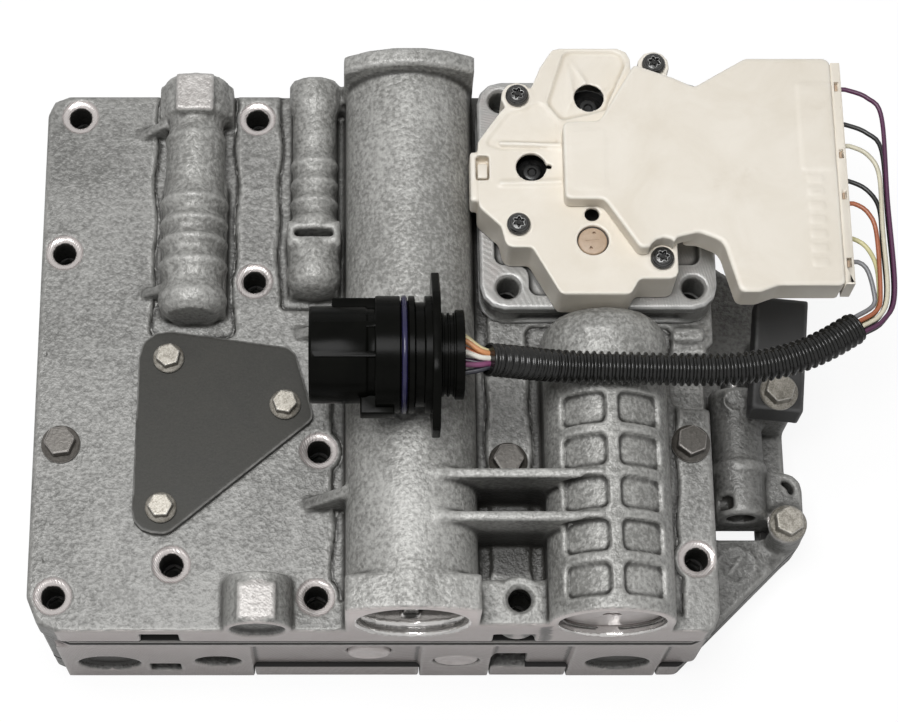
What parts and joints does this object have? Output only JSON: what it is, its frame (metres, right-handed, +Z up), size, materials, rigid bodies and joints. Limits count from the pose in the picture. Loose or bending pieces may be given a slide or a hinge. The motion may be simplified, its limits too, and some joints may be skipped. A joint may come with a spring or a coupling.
{
  "type": "transmission valve body",
  "caption": "Stacked cast control body with valve barrels on top, a moulded solenoid pack at the rear right and a loom to a round connector.",
  "frame": {"origin": "middle of the underside of the bottom cover, measured over everything but the harness", "axes": "+X along the long side towards the solenoid pack's terminals, +Y from the machined front face to the rear, +Z up out of the bottom cover"},
  "size_m": [0.3122, 0.213, 0.1505],
  "materials": {
    "cast_alloy": "sandblasted casting",
    "gasket": "coated sheet",
    "plate_steel": "dull rolled sheet",
    "zinc": "zinc plated",
    "bright_steel": "ground",
    "spring_steel": "drawn wire",
    "charcoal": "satin",
    "cream_plastic": "moulded, fine grain",
    "tan_plastic": "moulded",
    "black_screw": "glossy black",
    "black_plastic": "moulded",
    "seal_rubber": "smooth",
    "wire_black": "insulation",
    "wire_purple": "insulation",
    "wire_cream": "insulation",
    "wire_orange": "insulation",
    "wire_yellow": "insulation",
    "wire_grey": "insulation"
  },
  "bodies": {
    "casing": {"upper_body": "cast_alloy", "lower_body": "cast_alloy", "bottom_cover": "cast_alloy", "solenoid_base": "cast_alloy", "upper_gasket": "gasket", "lower_gasket": "gasket", "cover_gasket": "gasket", "separator_plate": "plate_steel", "access_plate": "plate_steel", "body_bolt_left": "zinc", "body_bolt_right": "zinc", "body_bolt_recess": "zinc", "lug_bolt": "zinc", "block_bolt": "zinc", "plate_bolt_1": "zinc", "plate_bolt_2": "zinc", "plate_bolt_3": "zinc", "support_block": "charcoal", "accumulator_cap": "bright_steel", "cap_snap_ring": "bright_steel", "accumulator_spring": "spring_steel", "main_spring": "spring_steel", "valve_plug_1": "bright_steel", "plug_clip_1": "spring_steel", "valve_spring_1": "spring_steel", "valve_plug_2": "bright_steel", "plug_clip_2": "spring_steel", "valve_spring_2": "spring_steel", "valve_plug_3": "bright_steel", "plug_clip_3": "spring_steel", "valve_spring_3": "spring_steel", "solenoid_housing": "cream_plastic", "lead_cover": "cream_plastic", "terminal_strip": "cream_plastic", "torx_screw_1": "black_screw", "torx_screw_2": "black_screw", "torx_screw_3": "black_screw", "torx_screw_4": "black_screw", "solenoid_1": "black_plastic", "solenoid_2": "black_plastic", "solenoid_3": "black_plastic", "adjuster_disc": "tan_plastic", "connector_body": "black_plastic", "connector_seal": "seal_rubber", "connector_wires": "wire_black", "loom_tube": "black_plastic", "wire_1": "wire_purple", "wire_2": "wire_black", "wire_3": "wire_cream", "wire_4": "wire_black", "wire_5": "wire_orange", "wire_6": "wire_yellow", "wire_7": "wire_grey"},
    "main_piston": {"main_piston": "bright_steel"},
    "accumulator_piston": {"accumulator_piston": "bright_steel"},
    "manual_valve": {"manual_valve": "bright_steel"},
    "spool_1": {"valve_spool_1": "bright_steel"},
    "spool_2": {"valve_spool_2": "bright_steel"},
    "spool_3": {"valve_spool_3": "bright_steel"}
  },
  "joints": [
    {"name": "main_piston_stroke", "type": "slide", "parent": "casing", "child": "main_piston", "axis": [0, 1, 0], "range_m": [0, 0.03], "stiffness_N_per_m": 900, "springref_m": -0.004, "deforming": ["main_spring"]},
    {"name": "accumulator_stroke", "type": "slide", "parent": "casing", "child": "accumulator_piston", "axis": [0, 1, 0], "range_m": [0, 0.022], "stiffness_N_per_m": 1500, "springref_m": -0.004, "deforming": ["accumulator_spring"]},
    {"name": "spool_1_stroke", "type": "slide", "parent": "casing", "child": "spool_1", "axis": [0, 1, 0], "range_m": [0, 0.009], "stiffness_N_per_m": 700, "springref_m": -0.003, "deforming": ["valve_spring_1"]},
    {"name": "spool_2_stroke", "type": "slide", "parent": "casing", "child": "spool_2", "axis": [0, 1, 0], "range_m": [0, 0.009], "stiffness_N_per_m": 700, "springref_m": -0.003, "deforming": ["valve_spring_2"]},
    {"name": "spool_3_stroke", "type": "slide", "parent": "casing", "child": "spool_3", "axis": [0, 1, 0], "range_m": [0, 0.009], "stiffness_N_per_m": 700, "springref_m": -0.003, "deforming": ["valve_spring_3"]},
    {"name": "manual_valve_stroke", "type": "slide", "parent": "casing", "child": "manual_valve", "axis": [0, 1, 0], "range_m": [0, 0.012]}
  ]
}
